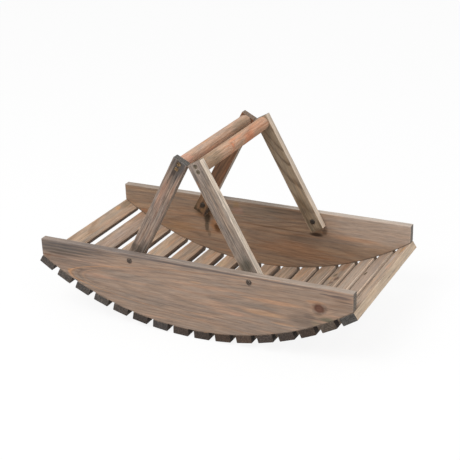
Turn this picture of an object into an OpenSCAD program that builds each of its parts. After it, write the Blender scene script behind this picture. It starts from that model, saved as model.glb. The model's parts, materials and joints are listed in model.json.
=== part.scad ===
// Slatted wooden garden trug with two swinging handles.
// Millimetres. +X runs along the tray, +Y from the front board to the back board, +Z up.
// The origin is under the middle of the tray, on the surface that it stands on.

/* [Side boards] */
// Length of the straight top edge of each side board
board_length = 500; // [420:10:600]
// Thickness of each side board
board_thickness = 12; // [10:1:16]
// Height of a side board's upright ends
board_end_height = 27.5; // [24:0.5:40]
// Height of a side board at its middle
board_mid_height = 105; // [95:1:120]
// Width of the tray over the outer faces of the boards
tray_width = 258; // [220:2:320]

/* [Floor slats] */
// Width of one slat, along the curve
slat_width = 24.5; // [20:0.5:25]
// Thickness of one slat
slat_thickness = 12; // [8:0.5:14]
// Size of the small bevel on the long edges of a slat
slat_bevel = 0.8; // [0.4:0.1:1.5]

/* [Handles] */
// Length of one handle arm from end to end
arm_length = 197; // [180:1:215]
// Width of one handle arm
arm_width = 23; // [21:0.5:26]
// Thickness of one handle arm
arm_thickness = 12; // [10:0.5:14]
// Size of the small bevel on the long edges of an arm
arm_bevel = 1; // [0.5:0.1:1.5]
// Distance from the lower end of an arm to its pivot
pivot_to_arm_end = 16; // [13:0.5:18]
// Distance of each pivot from the middle of the tray
pivot_offset = 96; // [90:1:104]
// Distance of each pivot below the top edge of the boards
pivot_drop = 10.5; // [9:0.5:14]
// Gap between the two handles where they lean together
handle_gap = 0.4; // [0.3:0.1:1]
// Diameter of the round grip
grip_diameter = 20; // [18:1:20]

/* [Pivots] */
// Outer diameter of the sleeve nut that the arm turns on
sleeve_diameter = 6; // [5:0.5:7]
// Radial clearance between the sleeve nut and the hole in the arm
sleeve_clearance = 0.05; // [0.03:0.01:0.1]
// Diameter of the low round head of the sleeve nut
sleeve_head_diameter = 8; // [7.5:0.5:10]
// Diameter of the pivot bolt's shank
bolt_diameter = 4; // [3:0.5:4]
// Diameter of the pivot bolt's round head
bolt_head_diameter = 8.6; // [8:0.1:11]
// Height of the pivot bolt's round head
bolt_head_height = 1.8; // [1.2:0.1:2.4]
// Outer diameter of the spacer washer
washer_diameter = 14; // [11:0.5:18]
// Thickness of the spacer washer
washer_thickness = 1.2; // [0.8:0.1:2]

/* [Screws and nails] */
// Diameter of a grip screw's shank
grip_screw_diameter = 3.4; // [3:0.1:3.6]
// Diameter of a grip screw's countersunk head
grip_screw_head = 6.6; // [6:0.1:7]
// Length of a grip screw
grip_screw_length = 38; // [30:1:50]
// Distance between the two screws at the end of a grip
grip_screw_spacing = 8.4; // [8:0.1:9]
// Diameter of a slat nail
nail_diameter = 1.8; // [1.4:0.1:2.2]
// Diameter of a slat nail's flat head
nail_head_diameter = 3.2; // [2.8:0.1:3.6]
// Length of a slat nail
nail_length = 24; // [20:1:26]
// Distance between the two nails at the end of a slat
nail_spacing = 12; // [8:0.5:13]

/* [Hidden] */

$fn = 64;
slat_count = 16;
FRONT = -1;
BACK = 1;
LEFT = -1;
RIGHT = 1;

// The boards' lower edge is one arc through both end corners and the lowest point.
arc_rise = board_mid_height - board_end_height;
arc_radius = (pow(board_length / 2, 2) + pow(arc_rise, 2)) / (2 * arc_rise);
arc_half_angle = asin(board_length / 2 / arc_radius);

// The end slats reach the ends of the arc, and the others share out the angle between them.
slat_half_angle = asin(slat_width / 2 / arc_radius);
first_slat_angle = slat_half_angle - arc_half_angle;
slat_step_angle = -2 * first_slat_angle / (slat_count - 1);
function slat_angle(i) = first_slat_angle + i * slat_step_angle;

// The two middle slats are tilted a little, so the trug stands on their lower inner edges.
middle_slat_angle = slat_step_angle / 2;
slat_bottom_radius = arc_radius + slat_thickness;
arc_centre_z = slat_bottom_radius * cos(middle_slat_angle)
    + (slat_width / 2 - slat_bevel) * sin(middle_slat_angle);
board_top_z = arc_centre_z - arc_radius + board_mid_height;

board_outer_y = tray_width / 2;
board_inner_y = board_outer_y - board_thickness;
board_centre_y = board_outer_y - board_thickness / 2;

// Across the tray an arm stands off its board by the washer and a running gap on each side.
side_gap = 0.3;
arm_outer_y = board_inner_y - washer_thickness - side_gap;
arm_inner_y = arm_outer_y - arm_thickness;
arm_reach = arm_length - pivot_to_arm_end;
pivot_z = board_top_z - pivot_drop;

// An arm leans until its upper inner corner comes within half of handle_gap of the middle.
arm_corner_radius = sqrt(pow(arm_reach, 2) + pow(arm_width / 2, 2));
arm_corner_angle = atan2(arm_width / 2, arm_reach);
lean_angle = asin((pivot_offset - handle_gap / 2) / arm_corner_radius) - arm_corner_angle;
grip_reach = arm_reach - grip_diameter / 2;

// The sleeve nut runs from its head on the inside of the arm to just short of the bolt's head.
sleeve_head_height = 1.2;
sleeve_end_gap = 0.5;
sleeve_length = side_gap + arm_thickness + side_gap + washer_thickness + board_thickness
    - sleeve_end_gap;
sleeve_radius = sleeve_diameter / 2;
arm_hole_radius = sleeve_radius + sleeve_clearance;
bolt_reach_past_board = 8;
bolt_length = board_thickness + bolt_reach_past_board;

// A countersunk head is a cone as deep as the step from the head's radius to the shank's radius.
grip_screw_cone = (grip_screw_head - grip_screw_diameter) / 2;
grip_screw_sink = 0.8;
grip_screw_slot_depth = 0.8;
grip_screw_slot_width = 0.8;

nail_head_height = 0.8;
nail_sink = 0.3;

// A low round head is a slice of a sphere through the rim and the top.
function dome_radius(rim, height) = (pow(rim, 2) + pow(height, 2)) / (2 * height);

WOOD_GREY = [0.58, 0.51, 0.45];
WOOD_TAN = [0.67, 0.57, 0.48];
WOOD_DARK = [0.50, 0.45, 0.40];
GRIP_TAN = [0.76, 0.58, 0.46];
DARK_STEEL = [0.22, 0.19, 0.18];
GREY_STEEL = [0.55, 0.54, 0.52];
BRASS = [0.72, 0.58, 0.33];

// Bar of the given length along +Z, centred on Z, with a bevel on its four long edges.
module bevelled_bar(width, depth, length, bevel) {
    w = width / 2;
    d = depth / 2;
    linear_extrude(length)
        polygon([[bevel - w, -d], [w - bevel, -d], [w, bevel - d], [w, d - bevel],
            [w - bevel, d], [bevel - w, d], [-w, d - bevel], [-w, bevel - d]]);
}

// Low round head standing on the XY plane.
module dome(rim, height) {
    radius = dome_radius(rim, height);
    intersection() {
        translate([0, 0, height - radius]) sphere(radius);
        cylinder(h = height, r = rim);
    }
}

// Moves its children from the frame of slat i to the tray: there X runs along the curve,
// Y across the tray, and Z is the depth below the boards' lower edge, counted downwards as negative.
module at_slat(i) {
    translate([0, 0, arc_centre_z])
        rotate([0, -slat_angle(i), 0])
            translate([0, 0, -arc_radius]) children();
}

// Moves its children from the frame of a nail, which points up +Z from its head's lower face,
// to each nail place on one side of slat i.
module at_nails(i, side) {
    at_slat(i)
        for (along = [-nail_spacing / 2, nail_spacing / 2])
            translate([along, side * board_centre_y, -slat_thickness + nail_sink]) children();
}

module nail() {
    cylinder(h = nail_head_height, d = nail_head_diameter);
    cylinder(h = nail_length, d = nail_diameter);
}

// Space that a nail takes in the wood, with its head's recess open below.
module nail_hole() {
    nail();
    translate([0, 0, -nail_sink - 1]) cylinder(h = 1.5 + nail_sink, d = nail_head_diameter);
}

// Moves its children to the pivot on one side and one end, with +Z pointing out of the tray.
module at_pivot(end, side) {
    translate([end * pivot_offset, 0, pivot_z])
        rotate([-side * 90, 0, 0]) children();
}

module side_board(side) {
    color(WOOD_GREY) difference() {
        intersection() {
            translate([0, side * board_centre_y, arc_centre_z])
                rotate([90, 0, 0])
                    cylinder(h = board_thickness, r = arc_radius, center = true, $fn = 360);
            translate([-board_length / 2, side * board_centre_y - board_thickness / 2, 0])
                cube([board_length, board_thickness, board_top_z]);
        }
        for (end = [LEFT, RIGHT])
            at_pivot(end, side)
                translate([0, 0, board_inner_y - 1])
                    cylinder(h = board_thickness + 2, r = sleeve_radius);
        for (i = [0 : slat_count - 1])
            at_nails(i, side) nail_hole();
    }
}

module slat(i) {
    color(WOOD_TAN) difference() {
        at_slat(i)
            translate([0, board_outer_y, -slat_thickness / 2])
                rotate([90, 0, 0])
                    bevelled_bar(slat_width, slat_thickness, tray_width, slat_bevel);
        for (side = [FRONT, BACK])
            at_nails(i, side) nail_hole();
    }
}

module slat_nails() {
    color(GREY_STEEL)
        for (i = [0 : slat_count - 1], side = [FRONT, BACK])
            at_nails(i, side) nail();
}

// Moves its children from the frame of an upright handle, whose pivot is on Y at the origin,
// to where the handle of one end stands when it leans on the other.
module at_handle(end) {
    translate([end * pivot_offset, 0, pivot_z])
        rotate([0, -end * lean_angle, 0]) children();
}

// Moves its children to the two screw places at one end of a grip, with +Z pointing out of the tray.
module at_grip_screws(side) {
    for (step = [-grip_screw_spacing / 2, grip_screw_spacing / 2])
        translate([0, side * arm_outer_y, grip_reach + step])
            rotate([-side * 90, 0, 0]) children();
}

// Countersunk screw whose head's face is grip_screw_sink below the XY plane.
module grip_screw() {
    cone_z = -grip_screw_sink - grip_screw_cone;
    difference() {
        union() {
            translate([0, 0, cone_z])
                cylinder(h = grip_screw_cone, d1 = grip_screw_diameter, d2 = grip_screw_head);
            translate([0, 0, -grip_screw_length])
                cylinder(h = grip_screw_length + cone_z, d = grip_screw_diameter);
        }
        translate([0, 0, -grip_screw_sink])
            for (turn = [0, 90])
                rotate([0, 0, turn])
                    cube([grip_screw_head / 2, grip_screw_slot_width, 2 * grip_screw_slot_depth],
                        center = true);
    }
}

// Space that a grip screw takes in the wood, open to the outside over its head.
module grip_screw_hole() {
    cone_z = -grip_screw_sink - grip_screw_cone;
    translate([0, 0, cone_z])
        cylinder(h = grip_screw_cone, d1 = grip_screw_diameter, d2 = grip_screw_head);
    translate([0, 0, -grip_screw_sink]) cylinder(h = grip_screw_sink + 1, d = grip_screw_head);
    translate([0, 0, -grip_screw_length])
        cylinder(h = grip_screw_length + cone_z, d = grip_screw_diameter);
}

module arm(end, side) {
    color(WOOD_DARK) at_handle(end) difference() {
        translate([0, side * (arm_outer_y + arm_inner_y) / 2, -pivot_to_arm_end])
            bevelled_bar(arm_width, arm_thickness, arm_length, arm_bevel);
        rotate([-side * 90, 0, 0])
            translate([0, 0, arm_inner_y - 1])
                cylinder(h = arm_thickness + 2, r = arm_hole_radius);
        at_grip_screws(side) grip_screw_hole();
    }
}

module grip(end) {
    color(GRIP_TAN) at_handle(end) difference() {
        translate([0, arm_inner_y, grip_reach])
            rotate([90, 0, 0]) cylinder(h = 2 * arm_inner_y, d = grip_diameter);
        for (side = [FRONT, BACK])
            at_grip_screws(side) grip_screw_hole();
    }
}

module grip_screws(end) {
    color(BRASS) at_handle(end)
        for (side = [FRONT, BACK])
            at_grip_screws(side) grip_screw();
}

module pivot_sleeve() {
    head_z = arm_inner_y - side_gap;
    difference() {
        union() {
            translate([0, 0, head_z]) cylinder(h = sleeve_length, r = sleeve_radius);
            translate([0, 0, head_z])
                mirror([0, 0, 1]) dome(sleeve_head_diameter / 2, sleeve_head_height);
        }
        translate([0, 0, board_outer_y - bolt_length])
            cylinder(h = bolt_length + 1, d = bolt_diameter);
    }
}

module pivot_bolt() {
    translate([0, 0, board_outer_y]) dome(bolt_head_diameter / 2, bolt_head_height);
    translate([0, 0, board_outer_y - bolt_length]) cylinder(h = bolt_length, d = bolt_diameter);
}

module pivot_washer() {
    translate([0, 0, board_inner_y - washer_thickness]) difference() {
        cylinder(h = washer_thickness, d = washer_diameter);
        translate([0, 0, -1]) cylinder(h = washer_thickness + 2, r = sleeve_radius);
    }
}

module pivot_sleeves() {
    color(DARK_STEEL)
        for (end = [LEFT, RIGHT], side = [FRONT, BACK])
            at_pivot(end, side) pivot_sleeve();
}

module pivot_bolts() {
    color(DARK_STEEL)
        for (end = [LEFT, RIGHT], side = [FRONT, BACK])
            at_pivot(end, side) pivot_bolt();
}

module pivot_washers() {
    color(GREY_STEEL)
        for (end = [LEFT, RIGHT], side = [FRONT, BACK])
            at_pivot(end, side) pivot_washer();
}

side_board(FRONT);  // front_board
side_board(BACK);  // back_board
slat(0);  // slat_01
slat(1);  // slat_02
slat(2);  // slat_03
slat(3);  // slat_04
slat(4);  // slat_05
slat(5);  // slat_06
slat(6);  // slat_07
slat(7);  // slat_08
slat(8);  // slat_09
slat(9);  // slat_10
slat(10);  // slat_11
slat(11);  // slat_12
slat(12);  // slat_13
slat(13);  // slat_14
slat(14);  // slat_15
slat(15);  // slat_16
slat_nails();
arm(LEFT, FRONT);  // left_front_arm
arm(LEFT, BACK);  // left_back_arm
grip(LEFT);  // left_grip
grip_screws(LEFT);  // left_grip_screws
arm(RIGHT, FRONT);  // right_front_arm
arm(RIGHT, BACK);  // right_back_arm
grip(RIGHT);  // right_grip
grip_screws(RIGHT);  // right_grip_screws
pivot_bolts();
pivot_sleeves();
pivot_washers();
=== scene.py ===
import json
import logging
import math
from dataclasses import dataclass, field
from enum import Enum

import bpy
import numpy as np
from mathutils import Euler, Matrix, Vector


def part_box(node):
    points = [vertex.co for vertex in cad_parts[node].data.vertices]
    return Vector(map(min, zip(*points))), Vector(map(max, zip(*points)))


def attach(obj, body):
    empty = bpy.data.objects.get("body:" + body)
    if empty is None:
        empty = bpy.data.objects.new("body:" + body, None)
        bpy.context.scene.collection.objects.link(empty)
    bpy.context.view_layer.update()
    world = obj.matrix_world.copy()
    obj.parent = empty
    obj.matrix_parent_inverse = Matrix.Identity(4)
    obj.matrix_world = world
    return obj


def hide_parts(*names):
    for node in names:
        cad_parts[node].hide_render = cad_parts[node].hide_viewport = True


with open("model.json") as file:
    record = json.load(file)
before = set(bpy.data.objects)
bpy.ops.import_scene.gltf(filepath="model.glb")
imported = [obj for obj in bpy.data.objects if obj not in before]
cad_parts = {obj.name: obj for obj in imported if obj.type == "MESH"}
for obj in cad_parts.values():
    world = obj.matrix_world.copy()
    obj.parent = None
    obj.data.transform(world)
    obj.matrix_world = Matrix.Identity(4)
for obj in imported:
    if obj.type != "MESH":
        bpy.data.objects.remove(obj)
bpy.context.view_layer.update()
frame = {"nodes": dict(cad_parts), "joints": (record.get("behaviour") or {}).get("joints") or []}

# Looks of a slatted wooden garden trug with two swinging handles.
# Metres, in the frame of the CAD model: +X along the tray, +Y from the front board to the back
# board, +Z up. Materials count in millimetres, in each piece's own axes: X along the grain,
# Y across the face, Z out of the face that the camera sees. A colour is written as a picture
# shows it: a hash sign, then two hex digits each for red, green and blue.

LOG = logging.getLogger("trug")
MM = 0.001
QUARTER = 0.5 * math.pi
FULL = 2.0 * math.pi

Triple = tuple[float, float, float]
Colour = str


class Side(Enum):
    """The long sides of the tray. The value is the sign of Y."""

    FRONT = -1
    BACK = 1


class End(Enum):
    """The ends of the tray. The value is the sign of X."""

    LEFT = -1
    RIGHT = 1


class Face(Enum):
    """Faces of a piece that a mark can be on. The value is the sign of the piece's own Z."""

    SEEN = 1
    HIDDEN = -1
    BOTH = 0


@dataclass(frozen=True)
class PieceFrame:
    """A piece's own axes in the frame of the CAD model."""

    origin: Triple
    along: Triple
    across: Triple

    def axes(self) -> np.ndarray:
        """Returns the unit vectors along, across and out of the face, one in each row."""
        return np.array([self.along, self.across, np.cross(self.along, self.across)], float)

    def place(self, points: np.ndarray) -> np.ndarray:
        """Moves points, whose last axis holds X, Y and Z, from the piece's axes to the CAD frame."""
        return points @ self.axes() + np.array(self.origin)

    def turn(self) -> Euler:
        """Returns the turn of the piece's axes as angles for a Mapping node."""
        return Matrix(self.axes().T.tolist()).to_euler("XYZ")


CAD_FRAME = PieceFrame((0.0, 0.0, 0.0), (1.0, 0.0, 0.0), (0.0, 1.0, 0.0))


@dataclass
class Surface:
    """Vertices and faces of one or more closed shells."""

    points: np.ndarray
    faces: list[list[int]]

    @staticmethod
    def tube(rings: np.ndarray) -> "Surface":
        """Closes a grid of rings into a shell whose faces point outwards.

        The first and the last ring are poles, with all their points in one place, and become
        one vertex each. The sign of the volume inside tells whether the faces need a turn.

        Args:
            rings: array of shape (rings, points round a ring, 3).

        Returns:
            The shell.
        """
        count, around = rings.shape[:2]
        points = np.concatenate([rings[:1, 0], rings[1:-1].reshape(-1, 3), rings[-1:, 0]])
        row = np.arange(count - 3)[:, None] * around + 1
        here = np.arange(around)
        after = (here + 1) % around
        quads = np.stack([row + here, row + after, row + around + after, row + around + here], -1)
        quads = quads.reshape(-1, 4)
        far = 1 + (count - 3) * around
        start = np.stack([0 * here, 1 + after, 1 + here], -1)
        end = np.stack([0 * here + len(points) - 1, far + here, far + after], -1)
        a, b, c, d = (points[quads[:, k]] - points.mean(0) for k in range(4))
        volume = np.einsum("ij,ij->", np.cross(b - a, c - a) + np.cross(c - a, d - a), a)
        order = 1 if volume > 0 else -1
        return Surface(points, [face for part in (quads, start, end)
                                for face in part[:, ::order].tolist()])

    @staticmethod
    def joined(parts: list["Surface"]) -> "Surface":
        """Makes one surface of several.

        Args:
            parts: the surfaces.

        Returns:
            A surface that holds all their shells.
        """
        starts = np.cumsum([0] + [len(part.points) for part in parts]).tolist()
        faces = [[start + index for index in face]
                 for start, part in zip(starts, parts) for face in part.faces]
        return Surface(np.concatenate([part.points for part in parts]), faces)

    def to_object(self, name: str) -> bpy.types.Object:
        """Makes a smooth-shaded Blender object of the surface and links it to the scene.

        Args:
            name: the object's name.

        Returns:
            The object, at the origin.
        """
        mesh = bpy.data.meshes.new(name)
        mesh.from_pydata(self.points.tolist(), [], self.faces)
        mesh.polygons.foreach_set("use_smooth", np.ones(len(mesh.polygons), bool))
        mesh.update()
        return link(name, mesh)


def link(name: str, data: bpy.types.ID, place: Matrix | None = None) -> bpy.types.Object:
    """Links a new object to the scene.

    Args:
        name: the object's name.
        data: its mesh, camera or light.
        place: where it stands, if that isn't the origin.

    Returns:
        The object.
    """
    thing = bpy.data.objects.new(name, data)
    if place:
        thing.matrix_world = place
    bpy.context.scene.collection.objects.link(thing)
    return thing


def waves(rng: np.random.Generator, at: np.ndarray, longest: float, count: int = 5) -> np.ndarray:
    """Smooth seeded unevenness along a length.

    The sum of sine waves whose lengths shrink from longest by a factor of 0.6 each, with random
    phases and heights that shrink nearly alike.

    Args:
        rng: seeded source of the phases.
        at: positions in metres.
        longest: length of the longest wave in metres.
        count: number of waves.

    Returns:
        Values within about -1 to 1, in the shape of at.
    """
    lengths = longest * 0.6 ** np.arange(count)
    phases = rng.uniform(0.0, FULL, count)
    heights = 0.62 ** np.arange(count)
    return (np.sin(FULL * at[..., None] / lengths + phases) * heights).sum(-1) / heights.sum()


def inner(count: int) -> np.ndarray:
    """Returns evenly spaced points inside -1 to 1, without the ends."""
    return np.linspace(-1.0, 1.0, count + 2)[1:-1]


def spaced(*stretches: Triple) -> np.ndarray:
    """Positions in metres over touching stretches of (start, end, spacing) in millimetres."""
    parts = [np.linspace(a, b, max(2, round((b - a) / gap) + 1))[:-1] for a, b, gap in stretches]
    return np.append(np.concatenate(parts), stretches[-1][1]) * MM


@dataclass(frozen=True)
class Recess:
    """Round recess in a broad face, with its place in the piece's own axes, in metres."""

    along: float
    across: float
    face: Face
    radius: float
    depth: float
    cone: float = 0.0
    wall: float = 0.3 * MM

    def sunk(self, x: np.ndarray, y: np.ndarray, z: np.ndarray) -> np.ndarray:
        """How far each point sinks: the full depth inside the radius, and the cone under it.

        Args:
            x: positions along the piece.
            y: positions across it.
            z: positions out of its face, which tell the two faces apart.

        Returns:
            Depths in the shape of x. They fall to 0 across the width of the wall.
        """
        away = np.hypot(x - self.along, y - self.across)
        share = np.clip((self.radius + 0.5 * self.wall - away) / self.wall, 0.0, 1.0)
        cone = np.clip(self.radius - away, 0.0, self.cone)
        return (self.depth * share + cone) * (z * self.face.value > 0.0)


@dataclass(frozen=True)
class SawnBar:
    """Sawn bar with worn edges: a rounded rectangle carried along the grain.

    At each station the outline is the core rectangle, which is the section less the edge radius,
    plus that radius along the outline's normal. The half width and the middle of the section may
    change along the bar. The ends turn inwards over a quarter circle and close on a pole. Each
    edge is worn in long waves, and the faces are uneven in short ones, which slant across them.
    """

    stations: np.ndarray
    half_width: np.ndarray
    middle: np.ndarray
    half_thickness: float
    face_points: np.ndarray
    seed: int
    edge_points: int = 5
    edge_radius: float = 1.1 * MM
    edge_wear: float = 0.45 * MM
    end_radius: float = 0.7 * MM
    unevenness: float = 0.05 * MM
    wear_wave: float = 90 * MM
    uneven_wave: float = 50 * MM
    slant: tuple[float, float] = (13 * MM, 31 * MM)
    least_radius: float = 0.08 * MM
    recesses: tuple[Recess, ...] = ()
    corner_steps: int = 4
    end_steps: int = 4

    def template(self) -> np.ndarray:
        """Outline of the section, as a rectangle of half sizes 1 with rounded corners.

        Returns:
            Rows of core Y, core Z, normal Y and normal Z.
        """
        turns = np.linspace(0.0, QUARTER, self.corner_steps + 1)
        parts = []
        for corner, (y, z) in enumerate(((1, 1), (-1, 1), (-1, -1), (1, -1))):
            angle = turns + corner * QUARTER
            parts.append([y + 0 * angle, z + 0 * angle, np.cos(angle), np.sin(angle)])
            steps = inner(self.edge_points) if corner % 2 else self.face_points
            flat = 0 * steps
            parts.append([y + flat, -z * steps, y + flat, flat] if corner % 2
                         else [-y * steps, z + flat, flat, z + flat])
        return np.concatenate(parts, 1)

    def profile(self) -> tuple[np.ndarray, np.ndarray, np.ndarray, np.ndarray]:
        """Stations of all the rings, with how each ring is inset and shrunk.

        Returns:
            Positions along the bar, index of the station that gives the section, inset in
            metres, and the share of its size that the inset section keeps.
        """
        shares = [0.0, 0.4, 0.75]
        turns = np.linspace(0.0, QUARTER, self.end_steps + 1)[:-1]
        rise = self.end_radius * np.append([0.0] * len(shares), 1.0 - np.cos(turns))
        inset = self.end_radius * np.append([1.0] * len(shares), 1.0 - np.sin(turns))
        keep = np.append(shares, [1.0] * len(turns))
        last = len(self.stations) - 1
        plain = np.zeros(last - 1)
        index = np.concatenate([0 * rise, np.arange(1, last), 0 * rise + last]).astype(int)
        along = self.stations[index] + np.concatenate([rise, plain, -rise[::-1]])
        return (along, index, np.concatenate([inset, plain, inset[::-1]]),
                np.concatenate([keep, plain + 1.0, keep[::-1]]))

    def surface(self, frame_: PieceFrame) -> Surface:
        """Builds the bar in its place.

        Args:
            frame_: the bar's own axes.

        Returns:
            The closed shell.
        """
        rng = np.random.default_rng(self.seed)
        core_y, core_z, normal_y, normal_z = self.template()
        along, index, inset, keep = self.profile()
        worn = np.stack([waves(rng, along, self.wear_wave) for _ in range(4)], -1)
        radius = self.edge_radius + self.edge_wear * worn[:, (core_y < 0) + 2 * (core_z < 0)]
        radius = np.clip(radius - inset[:, None], self.least_radius, None)
        y = core_y * ((self.half_width[index] - inset)[:, None] - radius) + radius * normal_y
        z = core_z * ((self.half_thickness - inset)[:, None] - radius) + radius * normal_z
        slanted = along[:, None] + self.slant[0] * core_y + self.slant[1] * core_z
        ripple = waves(rng, slanted, self.uneven_wave)
        ripple = self.unevenness * ripple * (inset[:, None] == 0.0)
        y = (y + ripple * normal_y) * keep[:, None] + self.middle[index][:, None]
        z = (z + ripple * normal_z) * keep[:, None]
        x = np.broadcast_to(along[:, None], y.shape)
        for recess in self.recesses:
            z = z - recess.face.value * recess.sunk(x, y, z)
        return Surface.tube(frame_.place(np.stack([x, y, z], -1)))


def linear(colour: Colour) -> tuple[float, ...]:
    """Turns a written colour into linear light, with a last 1 for its opacity."""
    shares = [level / 255.0 for level in bytes.fromhex(colour[1:])]
    return (*(s / 12.92 if s <= 0.04045 else ((s + 0.055) / 1.055) ** 2.4 for s in shares), 1.0)


class Wire:
    """Output of a shader node. Sums and products of wires add the nodes that work them out."""

    def __init__(self, graph: "Graph", socket: bpy.types.NodeSocket) -> None:
        """Keeps the socket and the graph that it belongs to."""
        self.graph = graph
        self.socket = socket

    def __add__(self, other: "Value") -> "Wire":
        """Returns this number plus the other."""
        return self.graph.math("ADD", self, other)

    def __sub__(self, other: "Value") -> "Wire":
        """Returns this number less the other."""
        return self.graph.math("SUBTRACT", self, other)

    def __rsub__(self, other: float) -> "Wire":
        """Returns the other number less this one."""
        return self.graph.math("SUBTRACT", other, self)

    def __mul__(self, other: "Value") -> "Wire":
        """Returns this number times the other."""
        return self.graph.math("MULTIPLY", self, other)

    def __abs__(self) -> "Wire":
        """Returns this number without its sign."""
        return self.graph.math("ABSOLUTE", self)

    def scaled(self, factor: "Value", offset: "Value") -> "Wire":
        """Returns this number times factor plus offset."""
        return self.graph.math("MULTIPLY_ADD", self, factor, offset)

    def centred(self, height: float) -> "Wire":
        """Turns noise from 0 to 1 into noise of that full height about 0."""
        return self.scaled(height, -0.5 * height)

    def inside(self, low: float, high: float) -> "Wire":
        """Returns how far inside a span this place is, less than 0 outside."""
        return 0.5 * (high - low) - abs(self - 0.5 * (low + high))

    def rise(self, low: float, high: float) -> "Wire":
        """Rises smoothly from 0 at low to 1 at high."""
        inputs = {"Value": self, "From Min": low, "From Max": high}
        return self.graph.wire("ShaderNodeMapRange", inputs, "Result",
                               interpolation_type="SMOOTHSTEP")

    def fall(self, low: float, high: float) -> "Wire":
        """Falls smoothly from 1 at low to 0 at high."""
        return 1.0 - self.rise(low, high)

    def split(self) -> tuple["Wire", ...]:
        """Returns the three parts of a vector."""
        node = self.graph.node("ShaderNodeSeparateXYZ", {0: self})
        return tuple(Wire(self.graph, part) for part in node.outputs)

    def stretch(self, scale: Triple, shift: "Wire | Triple" = (0.0, 0.0, 0.0)) -> "Wire":
        """Returns this vector times scale plus shift, each axis on its own."""
        return self.graph.wire("ShaderNodeVectorMath", {0: self, 1: scale, 2: shift},
                               operation="MULTIPLY_ADD")

    def noise(self, detail: float, roughness: float) -> "Wire":
        """Returns smooth noise from 0 to 1 with a mean of 0.5, about 1 unit from bump to bump."""
        inputs = {"Vector": self, "Scale": 1.0, "Detail": detail, "Roughness": roughness}
        return self.graph.wire("ShaderNodeTexNoise", inputs, "Fac")

    def draw(self, output: str) -> "Wire":
        """Returns a random number or colour, as Value or Color, that differs with this number."""
        return self.graph.wire("ShaderNodeTexWhiteNoise", {"W": self}, output,
                               noise_dimensions="1D")

    def shaded(self, level: "Value") -> "Wire":
        """Returns this colour times a number."""
        return self.graph.wire("ShaderNodeVectorMath", {0: self, "Scale": level},
                               operation="SCALE")

    def tinted(self, red: "Value", blue: "Value") -> "Wire":
        """Returns this colour with its red and blue parts multiplied."""
        return self.graph.wire("ShaderNodeVectorMath",
                               {0: self, 1: self.graph.vector(red, 1.0, blue)},
                               operation="MULTIPLY")


Value = Wire | float


class Graph:
    """Short ways to add shader nodes to a material or a world."""

    def __init__(self, owner: bpy.types.Material | bpy.types.World) -> None:
        """Starts with no nodes.

        Args:
            owner: the material or world whose nodes these will be.
        """
        owner.use_nodes = True
        self.owner = owner
        self.tree = owner.node_tree
        self.tree.nodes.clear()

    def node(self, kind: str, inputs: dict[str | int, object],
             **settings: object) -> bpy.types.Node:
        """Adds a node.

        Args:
            kind: Blender's name of the kind.
            inputs: wire, number, vector or colour for each input, by its name or place.
            settings: the node's other settings.

        Returns:
            The node.
        """
        node = self.tree.nodes.new(kind)
        for key, value in settings.items():
            setattr(node, key, value)
        for key, value in inputs.items():
            if isinstance(value, Wire):
                self.tree.links.new(value.socket, node.inputs[key])
            else:
                constant = linear(value) if isinstance(value, str) else value
                node.inputs[key].default_value = constant
        return node

    def wire(self, kind: str, inputs: dict[str | int, object], output: str | int = 0,
             **settings: object) -> Wire:
        """Adds a node as the method node does, and returns its output of that name or place."""
        return Wire(self, self.node(kind, inputs, **settings).outputs[output])

    def math(self, operation: str, *values: Value) -> Wire:
        """Returns the result of one Math node, by Blender's name of the operation."""
        return self.wire("ShaderNodeMath", dict(enumerate(values)), operation=operation)

    def hypot(self, first: Wire, second: Wire) -> Wire:
        """Returns the length of the vector (first, second)."""
        return self.math("SQRT", first.scaled(first, second * second))

    def vector(self, *parts: Value) -> Wire:
        """Returns a vector made of three numbers."""
        return self.wire("ShaderNodeCombineXYZ", dict(enumerate(parts)))

    def mix(self, share: Value, first: Wire | Colour, second: Wire | Colour) -> Wire:
        """Mixes two colours: a share of 0 gives the first and of 1 the second."""
        return self.wire("ShaderNodeMix", {"Factor": share, 6: first, 7: second}, 2,
                         data_type="RGBA")

    def constant(self, colour: Colour) -> Wire:
        """Returns a colour as a wire, so that it can be shaded."""
        return self.mix(0.0, colour, colour)

    def place(self, frame_: PieceFrame) -> Wire:
        """Returns the place of the shaded point in a piece's own axes, in millimetres."""
        inputs = {"Vector": self.wire("ShaderNodeTexCoord", {}, "Object"),
                  "Location": frame_.origin, "Rotation": frame_.turn(), "Scale": (MM, MM, MM)}
        return self.wire("ShaderNodeMapping", inputs, vector_type="TEXTURE")

    def finish(self, colour: Wire, roughness: Wire, height: Wire, relief: float,
               metallic: float = 0.0, specular: float = 0.35) -> bpy.types.Material:
        """Adds the shader and its bump.

        Args:
            colour: the surface's colour.
            roughness: the surface's roughness.
            height: relief as a share of its full height.
            relief: full height of the relief in millimetres.
            metallic: 1 for bare metal, else 0.
            specular: level of the plain reflection.

        Returns:
            The finished material.
        """
        bump = {"Strength": 1.0, "Distance": relief * MM, "Height": height}
        shader = {"Base Color": colour, "Roughness": roughness, "Metallic": metallic,
                  "Specular IOR Level": specular,
                  "Normal": self.wire("ShaderNodeBump", bump, "Normal")}
        surface = self.wire("ShaderNodeBsdfPrincipled", shader)
        self.node("ShaderNodeOutputMaterial", {"Surface": surface})
        return self.owner


@dataclass(frozen=True)
class Knot:
    """Knot in the wood, with its place and radius in millimetres.

    swirl is how far it pushes the rings aside, and hard is where its dark inside starts to fade,
    as a share of its radius. halo and rim are the strengths of its pale and dark rims.
    """

    along: float
    across: float
    radius: float
    swirl: float
    core: Colour
    hard: float
    halo: float
    rim: float


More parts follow.
